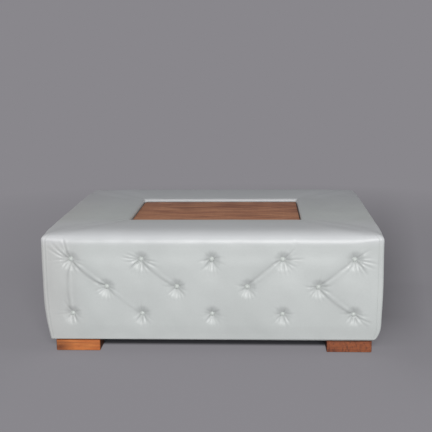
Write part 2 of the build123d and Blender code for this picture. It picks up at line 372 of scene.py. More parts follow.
# %% The front's folds: from, to, depth mm, bow mm, lift
front_folds = [
    (("low", -2), ("high", -2), 1.9, 8, -1), (("high", -2), ("middle", -1.5), 3.0, -5, 1),
    (("middle", -1.5), ("low", -1), 0.8, 0, 1), (("high", -1), ("middle", -0.5), 1.8, -4, 1),
    (("middle", 0.5), ("high", 1), 2.2, 4, -1), (("middle", 1.5), ("high", 2), 2.0, -3, -1),
    (("middle", 1.5), ("low", 2), 2.3, -4, 1),
]
print("front creases:", sum(len(found) for found in front_creases.values()), "folds:", len(front_folds))


# %% The same for a side that has to be made up
def made_up(side):
    """Creases and folds for a side from the fixed seed, in the front's manner."""
    chance = np.random.default_rng(seed + len(side))
    spots = [(name, steps) for name, steps, _, _ in tuft_places(side)]
    manner = {"high": (5, -40, 220), "middle": (3, -30, 210), "low": (3, -45, 225)}
    creases, folds = {}, []
    for name, steps in spots:
        count, least, most = manner[name]
        creases[name, steps] = [
            (chance.uniform(least, most), chance.uniform(34, 74), chance.uniform(0.9, 2.2))
            for _ in range(count)
        ]
    for name, steps in spots:
        for other in (("middle", steps - 0.5), ("middle", steps + 0.5)):
            if name != "middle" and other in spots and chance.random() < 0.5:
                pair = sorted([(name, steps), other], key=lambda spot: spot[1])
                folds.append((*pair, chance.uniform(1.0, 2.4), chance.uniform(-8, 8), chance.choice((-1, 1))))
    return creases, folds


# %% Everything that the buttons of one side do
def press(x, y, side, rise):
    """How far the tufts press in a side's plain face, and how high or deep its creases are."""
    creases, folds = (front_creases, front_folds) if side == "front" else made_up(side)
    spots = {(name, steps): (at, float(np.interp(z, *rise))) for name, steps, at, z in tuft_places(side)}
    height, lines = np.zeros_like(x), np.zeros_like(x)
    chance = np.random.default_rng(seed)
    for (name, steps), start in spots.items():
        near = (np.abs(x - start[0]) < tuft_reach) & (np.abs(y - start[1]) < tuft_reach)
        near_x, near_y = x[near], y[near]
        height[near] += pit(near_x, near_y, start)
        fine = [
            (360 * k / 11 + chance.uniform(-12, 12), chance.uniform(26, 58), chance.uniform(0.25, 0.7))
            for k in range(11)
        ]
        for angle, length, depth in creases[name, steps] + fans[name] + fine:
            turn, bow = radians(angle), 2.5 * MM * sin(angle * 1.7 + steps)
            begin = (start[0] + crease_start * cos(turn), start[1] + crease_start * sin(turn))
            lines[near] += crease(near_x, near_y, begin, turn, length * MM, depth * MM, bow)
    for one, other, depth, bow, lift in folds:
        lines += fold(x, y, spots[one], spots[other], depth * MM, bow * MM, lift)
    return height, lines


def side_fields(rows, cols, place):
    """Pits and creases at every point of a net, blended round the corners."""
    up, angle, radius = climb(rows), cols[:, 2], of_rows(rows, 2)
    upright = [k for k, row in enumerate(rows) if row[3] == "side"]
    outside = np.array([row[3] in ("side", "top") for row in rows])
    rise = (of_rows(rows, 1)[upright, 0], up[upright])
    height, lines = np.zeros(place.shape), np.zeros(place.shape)
    heights = np.broadcast_to(up[:, None], place.shape)
    for number, (name, side) in enumerate(sides.items()):
        own = cols[:, 0] == number
        before = (cols[:, 0] == (number - 1) % 4) & (angle > 0)
        weight = np.where(own, np.cos(angle) ** 2, 0) + np.where(before, np.sin(angle) ** 2, 0)
        corner_start = radius + of_rows(rows, 0) - side["width"]
        x = np.where(own, place, corner_start - radius * (pi / 2 - angle))
        used = weight > 0
        grid = np.ix_(outside, used)
        pits, creases = press(x[grid], heights[grid], name, rise)
        height[grid] += pits * weight[used]
        lines[grid] += creases * weight[used]
    low_fade = within(up, 4 * MM, 30 * MM)[:, None]
    return height * low_fade, lines * low_fade


height, lines = side_fields(rows, cols, place)
print(f"pits {-1000 * height.min():.1f} mm deep, creases {-1000 * lines.min():.1f} mm")

# %% [markdown]
# ## The padding between the tufts
# Foam under leather swells where nothing holds it. Blender's Cloth does that on a coarse copy of the net:
# the hem, the well and the tufts are pinned, a little pressure blows up the rest, and gravity is off. Only
# how far each point moved outwards is kept, capped, and read back onto the fine net. A sine bulge would
# repeat from tuft to tuft; the cloth finds a different pillow for every neighbourhood.


# %% Helpers that make objects
def link(name, data):
    """Adds an object with this data to the scene."""
    made = bpy.data.objects.new(name, data)
    bpy.context.scene.collection.objects.link(made)
    return made


def mesh_of(name, points, faces, soft_shading=True):
    """A mesh object from points and faces."""
    data = bpy.data.meshes.new(name)
    data.from_pydata([tuple(point) for point in points], [], [tuple(face) for face in faces])
    data.polygons.foreach_set("use_smooth", [soft_shading] * len(data.polygons))
    data.update()
    return link(name, data)


# %% Blow up the coarse net
def inflate(blank, hold, pressure):
    """Runs Cloth on a mesh held by these weights, removes it and returns where its points end up."""
    held = blank.vertex_groups.new(name="held")
    for number, weight in enumerate(hold.ravel().tolist()):
        held.add([number], weight, "REPLACE")
    cloth = blank.modifiers.new("swell", "CLOTH")
    cloth.settings.quality = 6
    cloth.settings.mass = 0.4
    cloth.settings.tension_stiffness = cloth.settings.compression_stiffness = 30
    cloth.settings.shear_stiffness = 12
    cloth.settings.bending_stiffness = 1.5
    cloth.settings.vertex_group_mass = "held"
    cloth.settings.use_pressure = True
    cloth.settings.uniform_pressure_force = pressure
    cloth.settings.effector_weights.gravity = 0
    cloth.collision_settings.use_collision = False
    for number in range(1, 21):
        bpy.context.scene.frame_set(number)
    shown = blank.evaluated_get(bpy.context.evaluated_depsgraph_get())
    moved = np.empty(hold.size * 3)
    shown.data.vertices.foreach_get("co", moved)
    bpy.context.scene.frame_set(1)
    bpy.data.objects.remove(blank)
    return moved.reshape(*hold.shape, 3)


def swell(pressure, most, fine, coarse):
    """How far the padding swells on a coarse net, how far up its rows lie, and its columns."""
    rough_cols = columns(fine, coarse, arc_steps=4)
    rough, rough_place, rough_rows = lay_out(fine, coarse, rough_cols)
    pits, _ = side_fields(rough_rows, rough_cols, rough_place)
    start = rough + outward(rough) * pits[..., None]
    index = np.arange(pits.size).reshape(pits.shape)
    right, above = np.roll(index, -1, axis=1), np.roll(index, -1, axis=0)
    faces = np.stack([index, right, np.roll(right, -1, axis=0), above], axis=2).reshape(-1, 4)
    kinds = np.array([row[3] for row in rough_rows])
    hold = within(-pits, 0, 4.5 * MM) ** 2
    hold[np.isin(kinds, ("hem", "rim", "back"))] = 1
    hold[list(kinds).index("side")] = 1
    moved = inflate(mesh_of("rough_padding", start.reshape(-1, 3), faces), hold, pressure)
    out = ((moved - start) * outward(start)).sum(axis=2)
    print("swelling, mm:", np.percentile(1000 * out[kinds == "side"], [1, 10, 50, 90, 99]).round(1))
    return np.clip(out, -1 * MM, most), climb(rough_rows), rough_cols


# %% Read the swelling back onto the fine net
def way_round(cols):
    """Each column's place round the plan, two steps to a side: its straight run and its corner."""
    angle = cols[:, 2]
    return cols[:, 0] * 2 + np.where(angle > 0, 1 + 0.99 * angle / (pi / 2), (cols[:, 1] + 1) / 2)


def spread(field, rough_up, rough_cols, up, cols):
    """A field of the coarse net read at the rows and columns of the fine one."""
    known, wanted = np.append(way_round(rough_cols), 8.0), way_round(cols)
    stretched = np.array([np.interp(wanted, known, np.append(line, line[0])) for line in field])
    return np.array([np.interp(up, rough_up, column) for column in stretched.T]).T


found = swell(pressure=4.0, most=4.4 * MM, fine=12 * MM, coarse=13 * MM)
swelling = spread(*found, climb(rows), cols)
for _ in range(40):
    for axis in (0, 1):
        swelling = (np.roll(swelling, 1, axis=axis) + 2 * swelling + np.roll(swelling, -1, axis=axis)) / 4

# %% [markdown]
# ## The leather, all together
# The fine net now takes the pits and creases, the swelling, a slow unevenness that every padded side has, and
# the groove of the sewn seam near each end of the front and the back. The ends of such a block are never
# pulled quite alike: here the left one stands a little prouder, the right one rolls under more, and the
# front's lower edge is tucked less. How deep a point lies is kept as an attribute, because the finish
# darkens creases with it.

# %% Where each unevenness is felt
up, inset, angle = climb(rows)[:, None], of_rows(rows, 0), cols[:, 2]
x, y, z = np.moveaxis(net, 2, 0)
kinds = np.array([row[3] for row in rows])
on_side, on_outside, near_hem = (
    np.isin(kinds, parts)[:, None] for parts in (("side",), ("side", "top"), ("side", "hem"))
)
widths = np.array([side["width"] for side in sides.values()])[cols[:, 0].astype(int)]
corner_fade = np.where(angle > 0, 0, within(widths - np.abs(place), 0, 90 * MM)) ** 0.7
shoulder_fade = smooth(z, shoulder_line, shoulder_line - 95 * MM) * within(z, sole, sole + 60 * MM)
front_fade = smooth(y, -0.3, -0.46)

# %% Waves, dips in the shoulder and the sewn seams
waves = 0.55 * np.sin(31 * x + 17 * y + 1.0) * np.sin(24 * z + 9 * x)
waves += 0.4 * np.sin(67 * x - 43 * y + 2.0) * np.sin(38 * z + 1.7)
waves = waves * 0.8 * MM * on_outside * within(up, 4 * MM, 30 * MM)
shoulder_wave = hump(x - 0.09, 0.028) + 1.1 * hump(x - 0.292, 0.008) + 0.5 * hump(x + 0.31, 0.03)
dips = -1.2 * MM * shoulder_wave * hump(z - shoulder_line - 4 * MM, 0.016) * (y < -0.4)
straight_x = half_x - corner_radius
from_end = (1 - np.abs(cols[:, 1])) * straight_x - (seam_in - corner_radius)
off_seam = np.abs(np.where((angle > 0) | (cols[:, 0] % 2 == 1), 1.0, from_end))
seams = -1.2 * MM * hump(off_seam, 1.7 * MM) + 0.45 * MM * hump(off_seam - 4.6 * MM, 2.4 * MM)
seams = seams * on_side * within(up, 2 * MM, 10 * MM)
height = height + lines + swelling * on_side * shoulder_fade * corner_fade + dips + waves + seams
leather_net = net + outward(net) * height[..., None]
print(f"leather: {height.size} points")
print(f"from {1000 * height.min():.1f} to {1000 * height.max():.1f} mm off its plain face")

# %% How this table's ends and lower edge differ
drawn_line, roll_line = 0.26, 0.105
rolled = 3 * MM * smooth(z, drawn_line, 0.09) + 26 * MM * (1 - np.sqrt(1 - within(z, roll_line, sole) ** 2))
right_end = smooth(x, 0.46, 0.575) * on_side * (side_inset(z) - rolled)
drawn = 20 * MM * within(z, drawn_line, sole) ** 2.2
left_out = (drawn - side_inset(z) - 4.6 * MM) * smooth(x, -0.44, -0.58)
right_out = 2.2 * MM * smooth(x, 0.44, 0.58) * smooth(z, 0.06, 0.12)
less_tucked = side_inset(z) - 9 * MM * within(z, drawn_line, sole) ** 2
low_edge = smooth(z, sole + 70 * MM, sole) * within(inset, 44 * MM, 32 * MM) * near_hem
leather_net[..., 0] += right_end + (left_out + right_out) * on_outside
leather_net[..., 1] -= less_tucked * front_fade * smooth(z, 0.3, 0.2) * on_side
leather_net[..., 2] += (6.5 * MM + 1.5 * MM * x / half_x) * low_edge * front_fade
depth = 0.8 * within(lines - height, 0, tuft_depth) ** 2.2 + 0.8 * within(-lines, 0, 1.8 * MM)
depth = np.clip(depth, 0, 1)
print(f"crease tone: {depth[kinds == 'side'].mean():.2f} on average, {depth.max():.2f} at most")

# %% [markdown]
# ### One closed mesh
# Where the leather is plain, on the top and out of sight, every second column is left out. A row of triangles
# joins such a thin row to a dense one, so the mesh stays closed.


# %% Join the net into one closed mesh
def join_rows(low, high):
    """Faces between two rows of point numbers, of which one may have only every second point."""
    low_next, high_next = np.roll(low, -1), np.roll(high, -1)
    if len(low) == len(high):
        parts = [(low, low_next, high_next, high)]
    elif len(low) < len(high):
        even, odd, after = high[0::2], high[1::2], high_next[1::2]
        parts = [(low, low_next, odd), (low, odd, even), (low_next, after, odd)]
    else:
        even, odd, after = low[0::2], low[1::2], low_next[1::2]
        parts = [(even, odd, high), (odd, after, high_next), (odd, high_next, high)]
    return [face for corners in parts for face in np.stack(corners, axis=1).tolist()]


def join_net(name, points, dense):
    """A closed mesh from a net, and the columns that each row keeps: every second where it isn't dense."""
    tall, wide = points.shape[:2]
    kept = [np.arange(0, wide, 1 if dense[k] else 2) for k in range(tall)]
    starts = np.cumsum([0, *(len(row) for row in kept)])
    index = [start + np.arange(len(row)) for start, row in zip(starts, kept)]
    faces = [face for k in range(tall) for face in join_rows(index[k], index[(k + 1) % tall])]
    return mesh_of(name, np.concatenate([points[k, kept[k]] for k in range(tall)]), faces), kept


padding, kept = join_net("tufted_leather", leather_net, kinds == "side")
depths = np.concatenate([depth[k, row] for k, row in enumerate(kept)]).astype(np.float32)
padding.data.attributes.new("depth", "FLOAT", "POINT").data.foreach_set("value", depths)
print("leather faces:", len(padding.data.polygons))

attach(padding, "base")
foams = [f"foam_{side}" for side in sides] + [f"foam_top_{side}" for side in sides]
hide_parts("leather_cover", *foams)

# %% [markdown]
# ## Nodes from Python
# Materials and Geometry Nodes are both trees of nodes. One small class adds any node from its type, its
# settings, and the values or links of its sockets. Another wraps a socket, so that 1 - mask or
# 0.4 + 0.1 * grain adds the Math nodes itself and a sum reads as a sum. Wiring each node by hand would take
# many times the lines.


# %% Sums on sockets, and nodes by their type
class Value:
    """A socket that + - * / and abs work on."""

    def __init__(self, nodes, socket):
        self.nodes, self.socket = nodes, socket

    def maths(self, operation, *terms):
        return self.nodes.node("Math", {"operation": operation}, dict(enumerate(terms)))

    def __add__(self, other):
        return self.maths("ADD", self, other)

    def __sub__(self, other):
        return self.maths("SUBTRACT", self, other)

    def __rsub__(self, other):
        return self.maths("SUBTRACT", other, self)

    def __mul__(self, other):
        return self.maths("MULTIPLY", self, other)

    def __truediv__(self, other):
        return self.maths("DIVIDE", self, other)

    def __abs__(self):
        return self.maths("ABSOLUTE", self)

    __radd__ = __add__
    __rmul__ = __mul__


class Nodes:
    """A tree that takes nodes by their type, after a prefix that they all share."""

    def __init__(self, tree, prefix=""):
        self.tree, self.prefix = tree, prefix

    def node(self, kind, settings=None, values=None, output=0):
        """Adds a node, sets it up and returns one of its outputs, if it has any."""
        made = self.tree.nodes.new(self.prefix + kind)
        for key, value in (settings or {}).items():
            setattr(made, key, value)
        for key, value in (values or {}).items():
            self.feed(made.inputs[key], value)
        return Value(self, made.outputs[output]) if len(made.outputs) else None

    def feed(self, socket, value):
        """Links or sets a socket."""
        if isinstance(value, Value):
            self.tree.links.new(value.socket, socket)
        else:
            socket.default_value = (*value, 1) if socket.type == "RGBA" else value


# %% [markdown]
# ## Geometry Nodes for what repeats
# Fifty buttons, a hundred staples and the stitches each repeat one small shape. A Geometry Nodes tree puts
# that shape on points or along a path, so its size and spacing stay inputs. The class below builds a tree
# with named inputs; a modifier runs it, and the result is kept as a plain mesh.


# %% A tree of Geometry Nodes
class Tree(Nodes):
    """A Geometry Nodes tree with named inputs."""

    def __init__(self, name, **inputs):
        super().__init__(bpy.data.node_groups.new(name, "GeometryNodeTree"))
        face = self.tree.interface
        face.new_socket("Geometry", in_out="INPUT", socket_type="NodeSocketGeometry")
        self.start_values = {}
        for key, value in inputs.items():
            kind = "Material" if isinstance(value, bpy.types.Material) else type(value).__name__.capitalize()
            socket = face.new_socket(key, in_out="INPUT", socket_type="NodeSocket" + kind)
            self.start_values[socket.identifier] = value
        face.new_socket("Geometry", in_out="OUTPUT", socket_type="NodeSocketGeometry")
        self.given = self.node("NodeGroupInput").socket.node

    def __getitem__(self, key):
        return Value(self, self.given.outputs[key])

    def askew(self, direction, most):
        """A rotation that faces a direction, turned off it at random by up to about this much."""
        random = {"Min": (-1, -1, -1), "Max": (1, 1, 1), "Seed": self["seed"]}
        off = self.node("FunctionNodeRandomValue", {"data_type": "FLOAT_VECTOR"}, random)
        off = self.node("ShaderNodeVectorMath", {"operation": "SCALE"}, {0: off, "Scale": most})
        heading = self.node("ShaderNodeVectorMath", {"operation": "ADD"}, {0: direction, 1: off})
        return self.node("FunctionNodeAlignRotationToVector", {"axis": "Z"}, {"Vector": heading})

    def finish(self, points, shape, rotation):
        """Ends the tree: the shape on every point, as real geometry with its material."""
        values = {"Points": points, "Instance": shape, "Rotation": rotation}
        copies = self.node("GeometryNodeInstanceOnPoints", None, values)
        real = self.node("GeometryNodeRealizeInstances", None, {0: copies})
        done = self.node("GeometryNodeSetMaterial", None, {"Geometry": real, "Material": self["finish"]})
        self.node("NodeGroupOutput", None, {0: done})

    def grow(self, name, carrier):
        """Runs the tree on a carrier mesh and keeps the result as a plain mesh object."""
        modifier = carrier.modifiers.new("grow", "NODES")
        modifier.node_group = self.tree
        for identifier, value in self.start_values.items():
            modifier[identifier] = value
        shown = carrier.evaluated_get(bpy.context.evaluated_depsgraph_get())
        made = link(name, bpy.data.meshes.new_from_object(shown))
        carrier.modifiers.remove(modifier)
        bpy.data.objects.remove(carrier)
        print(name, "-", len(made.data.polygons), "faces")
        return made


# %% [markdown]
# ## Finishes
# Each finish is a node tree on the Principled shader. Patterns read Object coordinates, so they stay put on
# the piece and keep their real scale. Numbers that are the same all over are set on the shader itself.


# %% A finish
class Finish(Nodes):
    """A material on the Principled shader."""

    def __init__(self, name, **constants):
        self.material = bpy.data.materials.new(name)
        self.material.use_nodes = True
        super().__init__(self.material.node_tree, "ShaderNode")
        self.shader = self.tree.nodes["Principled BSDF"]
        for key, value in constants.items():
            self.shader.inputs[key.replace("_", " ")].default_value = value
        self.place = self.node("TexCoord", output="Object")

    def noise(self, scale, where=None, detail=3.0, rough=0.5, distort=0.0):
        """Cloudy noise from 0 to 1."""
        values = {"Scale": scale, "Detail": detail, "Roughness": rough, "Distortion": distort}
        return self.node("TexNoise", None, {"Vector": where or self.place, **values})

    def stretched(self, scale, turn=(0, 0, 0), shift=(0, 0, 0)):
        """Coordinates stretched, turned and shifted."""
        values = {"Vector": self.place, "Location": shift, "Rotation": turn, "Scale": scale}
        return self.node("Mapping", None, values)

    def parts(self, vector):
        """A vector's three numbers."""
        separate = self.node("SeparateXYZ", None, {0: vector}).socket.node
        return [Value(self, output) for output in separate.outputs]

    def mix(self, share, first, second):
        """One colour over another."""
        return self.node("Mix", {"data_type": "RGBA"}, {0: share, 6: first, 7: second}, 2)

    def limit(self, value, low, high):
        """Maps low..high to 0..1."""
        return self.node("MapRange", None, {0: value, 1: low, 2: high})

    def larger(self, first, second):
        """The larger of two values."""
        return self.node("Math", {"operation": "MAXIMUM"}, {0: first, 1: second})

    def bump(self, height, strength, distance, over=None):
        """Roughness of the surface, as a normal."""
        values = {"Height": height, "Strength": strength, "Distance": distance}
        return self.node("Bump", None, values if over is None else {**values, "Normal": over})

    def wear(self, **links):
        """Links the sockets that change over the surface."""
        for key, value in links.items():
            self.feed(self.shader.inputs[key.replace("_", " ")], value)
        return self.material


def colour(red, green, blue):
    """A colour as a paint chart gives it, 0 to 255, turned into light."""
    shares = [part / 255 for part in (red, green, blue)]
    return tuple(share / 12.92 if share <= 0.04 else ((share + 0.055) / 1.055) ** 2.4 for share in shares)


def shade(tone, share):
    """A darker colour of the same hue."""
    return tuple(share * part for part in tone)


# %% [markdown]
# ### Leather
# The hide is finished in a pale grey-green with a low sheen. Close up it has a pebble grain about a
# millimetre across; from a step away it has slow clouds of tone, and it is darker and duller where it is
# creased, with dust and painted shade. The attribute kept on the net drives that part. A painted highlight
# makes the hide paler on the front roll; painted shade makes it darker on the far half of the top and darkest
# low in the well. It is a little duller at the left end. Two hairline creases run from near the board's left
# front corner.

# %% Tones and creases that belong to one place
left_end_grey, painted_highlight_tone, painted_shade_tone = colour(186, 184, 182), colour(209, 210, 213), colour(160, 159, 169)
hairlines = [((-0.334, -0.19), (-0.402, -0.262), 0.007), ((-0.337, -0.229), (-0.372, -0.292), 0.006)]


def tone_by_place(finish, tone, dark):
    """Painted shade low in the well and on the far half of the top, a painted highlight on the front roll,
    and a duller left end.
    """
    x, y, z = finish.parts(finish.place)
    in_well = finish.limit(abs(x), well_x - 0.004, well_x - 0.016)
    in_well = in_well * finish.limit(abs(y), well_y + 0.003, well_y)
    low_in_well = in_well * finish.limit(z, top - 0.006, top - 0.013)
    front_roll = finish.limit(y, -0.2, -0.34) * finish.limit(z, top - 0.045, top - 0.012)
    far_half = finish.limit(y, -0.12, 0.35) * finish.limit(z, top - 0.02, top - 0.008)
    # Painted shade low in the well.
    tone = finish.mix(low_in_well * 0.45, tone, shade(dark, 0.25))
    # A duller, greyer tone at the left end.
    tone = finish.mix(finish.limit(x, -0.44, -0.6) * 0.5, tone, left_end_grey)
    # Painted highlight: the front roll is paler.
    tone = finish.mix(front_roll * 0.62, tone, painted_highlight_tone)
    # Painted shade: the far half of the top is darker.
    return finish.mix(far_half * 0.45, tone, painted_shade_tone)


def add_hairlines(finish, relief):
    """Fine creases on the top, each deepest near its start."""
    x, y, z = finish.parts(finish.place)
    on_top = finish.limit(z, top - 0.02, top - 0.01)
    for (start_x, start_y), (end_x, end_y), width in hairlines:
        run, rise = end_x - start_x, end_y - start_y
        long = hypot(run, rise)
        ahead = ((x - start_x) * run + (y - start_y) * rise) / long
        aside = abs(((y - start_y) * run - (x - start_x) * rise) / long)
        shown = finish.limit(ahead, 0.0, 0.02) * finish.limit(ahead, long, long * 0.5) * on_top
        relief = finish.bump(finish.limit(aside, 0.0, width) * shown + (1 - shown), 1.0, 0.003, relief)
    return relief


# %% The leather
def pebbles(finish, scale):
    """Pebble grain: 0 in the valleys between cells whose edges wander, 1 on top of the pebbles."""
    wander = finish.node("TexNoise", None, {"Vector": finish.place, "Scale": 300.0}, "Color")
    wander = finish.node("VectorMath", {"operation": "SCALE"}, {0: wander, "Scale": 0.0012})
    where = finish.node("VectorMath", {"operation": "ADD"}, {0: finish.place, 1: wander})
    cells = finish.node("TexVoronoi", {"feature": "DISTANCE_TO_EDGE"}, {"Vector": where, "Scale": scale})
    return finish.limit(cells, 0.0, 0.22)


def leather(name, light, dark, grain=880.0, whole_hide=True):
    """Grained leather with clouds of tone, and on the whole hide with creases and tones by place."""
    finish = Finish(name, Coat_Weight=0.12, Coat_Roughness=0.32, Specular_IOR_Level=0.45, Sheen_Weight=0.04)
    tone = finish.mix(finish.limit(finish.noise(5.5, detail=4.0), 0.3, 0.72), light, dark)
    speckle = finish.limit(finish.noise(160.0, detail=2.0), 0.35, 0.75)
    tone = finish.mix(speckle * 0.10, tone, shade(dark, 0.8))
    raised = pebbles(finish, grain)
    roughness = 0.34 + finish.noise(46.0) * 0.12
    if whole_hide:
        crease_depth = finish.node("Attribute", {"attribute_name": "depth"}, output="Fac")
        # Painted shade, with some dust: the hide is darker in its creases.
        tone = finish.mix(crease_depth * 0.42, tone, shade(dark, 0.42))
        roughness = roughness + crease_depth * 0.12
    tone = finish.mix((1 - raised) * 0.10, tone, shade(dark, 0.6))
    relief = finish.bump(raised, 0.16, 0.00035)
    if whole_hide:
        tone = tone_by_place(finish, tone, dark)
        relief = add_hairlines(finish, relief)
    relief = finish.bump(finish.noise(70.0, detail=2.0), 0.10, 0.0012, relief)
    return finish.wear(Base_Color=tone, Roughness=roughness, Normal=relief)


hide = leather("leather_grey_green", colour(198, 202, 200), colour(190, 194, 192))
button_tones = colour(201, 206, 202), colour(190, 195, 191)
button_hide = leather("button_leather_grey_green", *button_tones, grain=1056.0, whole_hide=False)
padding.data.materials.append(hide)
print("leather nodes:", len(hide.node_tree.nodes))

# %% [markdown]
# ### Wood
# Wood is long fibres in growth bands. The coordinates are stretched along the grain, so noise becomes
# fibre, and a wave bent by slow noise becomes the bands. Pores are short dark streaks. The same recipe with
# other colours and another direction gives the board, the feet, the frame's pine and the plywood. The left
# front foot has a knot, the right one is flecked, and the board has marks of its own: painted shade that
# darkens its far half, a streaky figure, and painted shade along its edges.


# %% Marks that only some pieces have
def add_knot(finish, tone, dark, knot):
    """A soft dark knot at a place, drawn out along x."""
    squeeze = 0.55
    points = {0: finish.stretched((squeeze, 1, 1)), 1: (squeeze * knot[0], knot[1], knot[2])}
    away = finish.node("VectorMath", {"operation": "DISTANCE"}, points, "Value")
    clear_of_it = finish.limit(away + finish.noise(40.0) * 0.006, 0.004, 0.034)
    return finish.mix((1 - clear_of_it) * 0.75, tone, shade(dark, 0.35))


def add_flecks(finish, tone, dark, share):
    """Short slanting flecks."""
    spots = finish.noise(120.0, finish.stretched((1.6, 1.0, 0.6), turn=(0, 0.5, 0)), detail=3.0, rough=0.7)
    return finish.mix(finish.limit(spots, 0.5, 0.62) * share, tone, dark)


def add_board_marks(finish, tone, light, dark, board):
    """Painted shade towards the back, a streaky figure, and painted shade along the ends and long edges."""
    x, y, _ = finish.parts(finish.place)
    # Painted shade: darker towards the back, with the figure stronger there.
    painted_back_shade = finish.limit(y, -0.1, 0.2)
    figure = finish.noise(9.0, finish.stretched((1.2, 7.0, 7.0)), detail=3.0, rough=0.5)
    tone = finish.mix(painted_back_shade * 0.34, tone, dark)
    tone = finish.mix(finish.limit(figure, 0.5, 0.64) * (0.32 + painted_back_shade * 0.24), tone, dark)
    tone = finish.mix(finish.limit(figure, 0.47, 0.34) * 0.5, tone, light)
    # Painted shade along the ends and long edges, where the board meets the well.
    ends = finish.limit(abs(x), board.x - 0.004, board.x - 0.001) * 0.6
    long_edges = finish.limit(abs(y), board.y - 0.014, board.y - 0.001)
    return finish.mix(finish.larger(ends, long_edges) * 0.75, tone, shade(dark, 0.3))


# %% The wood
def wood(
    name, tones, along="x", band=22.0, gloss=0.42, coat=0.1, pore=0.5, shift=(0, 0, 0),
    knot=None, fleck=0.0, board=None,
):
    """Wood with its grain along x or y: tones are light, middle and dark, as a paint chart gives them."""
    finish = Finish(name, Coat_Weight=coat, Coat_Roughness=0.3)
    light, middle, dark = (colour(*tone) for tone in tones)
    grain_axis, side_axis = (0, 1) if along == "x" else (1, 0)
    in_x, in_y = (1.0, 14.0) if along == "x" else (14.0, 1.0)
    fibres = finish.noise(22.0, finish.stretched((in_x, in_y, 14.0), shift=shift), detail=6.0, rough=0.62)
    slow = finish.stretched((0.9, 5.0, 5.0) if along == "x" else (5.0, 0.9, 5.0), shift=shift)
    bend = finish.noise(1.6, slow, detail=3.0, distort=0.4)
    slow_parts = finish.parts(slow)
    rings = (slow_parts[side_axis] + slow_parts[2] * 0.7 + bend * 1.9) * band
    bands = finish.limit(rings.maths("SINE", rings), -1.0, 1.0)
    tone = finish.mix(finish.limit(bands * 0.32 + fibres * 0.9, 0.3, 0.9), light, middle)
    streaked = finish.stretched((0.55 * in_x, 1.6 * in_y, 22.0), shift=shift)
    streaks = finish.limit(finish.noise(6.0, streaked, detail=4.0, rough=0.7), 0.5, 0.72)
    tone = finish.mix(streaks * 0.65, tone, dark)
    pored = finish.stretched((0.7 * in_x, 2.6 * in_y, 30.0), shift=shift)
    pores = finish.limit(finish.noise(60.0, pored, detail=2.0), 0.58, 0.7)
    tone = finish.mix(pores * pore, tone, shade(dark, 0.45))
    if knot is not None:
        tone = add_knot(finish, tone, dark, knot)
    facing = finish.parts(finish.node("NewGeometry", output="Normal"))[grain_axis]
    tone = finish.mix(finish.limit(facing * facing, 0.4, 0.6) * 0.85, tone, shade(dark, 0.3))
    if fleck > 0:
        tone = add_flecks(finish, tone, dark, fleck)
    if board is not None:
        tone = add_board_marks(finish, tone, light, dark, board)
    roughness = gloss + fibres * 0.16 + pores * 0.1
    relief = finish.bump(fibres * 0.6 - pores, 0.22, 0.0004)
    return finish.wear(Base_Color=tone, Roughness=roughness, Normal=relief)


board_tones = [(206, 146, 108), (166, 107, 77), (112, 64, 45)]
light_tones = [(205, 126, 65), (181, 97, 46), (112, 56, 29)]
red_tones = [(154, 85, 45), (134, 67, 35), (84, 40, 22)]
pine_tones = [(222, 190, 146), (206, 168, 120), (176, 132, 84)]
plywood_tones = [(214, 184, 142), (198, 162, 118), (168, 128, 88)]
board_look = dict(band=13.0, gloss=0.5, coat=0.0, pore=0.75)
board_wood = wood("board_brown_wood", board_tones, **board_look, board=board_high)
light_look = dict(band=30.0, shift=(3.1, 0.4, 0.9))
foot_light = wood("foot_orange_brown_wood", light_tones, **light_look, knot=(-0.556, -0.480, 0.014))
red_look = dict(band=26.0, shift=(1.2, 2.4, 0.3), pore=0.9)
foot_red = wood("foot_red_brown_wood", red_tones, **red_look, fleck=0.7)
pine = wood("frame_pine", pine_tones, along="y", band=16.0, gloss=0.6, coat=0.0)
pine_long = wood("frame_pine_long", pine_tones, band=16.0, gloss=0.6, coat=0.0)
plywood = wood("panel_plywood", plywood_tones, band=8.0, gloss=0.62, coat=0.0, pore=0.3)
print("board nodes:", len(board_wood.node_tree.nodes), "pine nodes:", len(pine.node_tree.nodes))

# %% [markdown]
# ### Cloth, metal and plastic
# The dust cloth is a thin pressed black fibre, the lining a grey wool felt: both are short fibres in every
# direction, so they are made of noise at several sizes, not of a weave. Staples and screws are zinc, with
# fine drawing lines. The glides are hard nylon, scuffed where they slide.


# %% The other finishes
def fibre_cloth(name, light, dark, scale, relief):
    """Pressed fibres: fine noise in tone and relief."""
    finish = Finish(name, Sheen_Weight=0.25, Sheen_Roughness=0.5)
    threads = finish.noise(scale, finish.stretched((1.0, 2.2, 1.0), turn=(0, 0, 0.7)), detail=6.0, rough=0.8)
    crossed = finish.noise(scale, finish.stretched((2.2, 1.0, 1.0), turn=(0, 0, 0.4)), detail=6.0, rough=0.8)
    tone = finish.mix(finish.limit(threads * 0.5 + crossed * 0.5, 0.35, 0.65), dark, light)
    tone = finish.mix(finish.limit(finish.noise(9.0, detail=3.0), 0.4, 0.8) * 0.3, tone, dark)
    raised = finish.bump(threads + crossed, 0.5, relief)
    return finish.wear(Base_Color=tone, Roughness=0.85 + threads * 0.1, Normal=raised)


def drawn_metal(name, base, rough):
    """Drawn metal with fine lines and dull spots."""
    finish = Finish(name, Metallic=1.0)
    lines = finish.noise(90.0, finish.stretched((1.0, 30.0, 1.0)), detail=4.0, rough=0.7)
    tone = finish.mix(finish.limit(finish.noise(400.0), 0.35, 0.8) * 0.5, base, shade(base, 0.6))
    raised = finish.bump(lines, 0.15, 0.0002)
    return finish.wear(Base_Color=tone, Roughness=rough + lines * 0.2, Normal=raised)


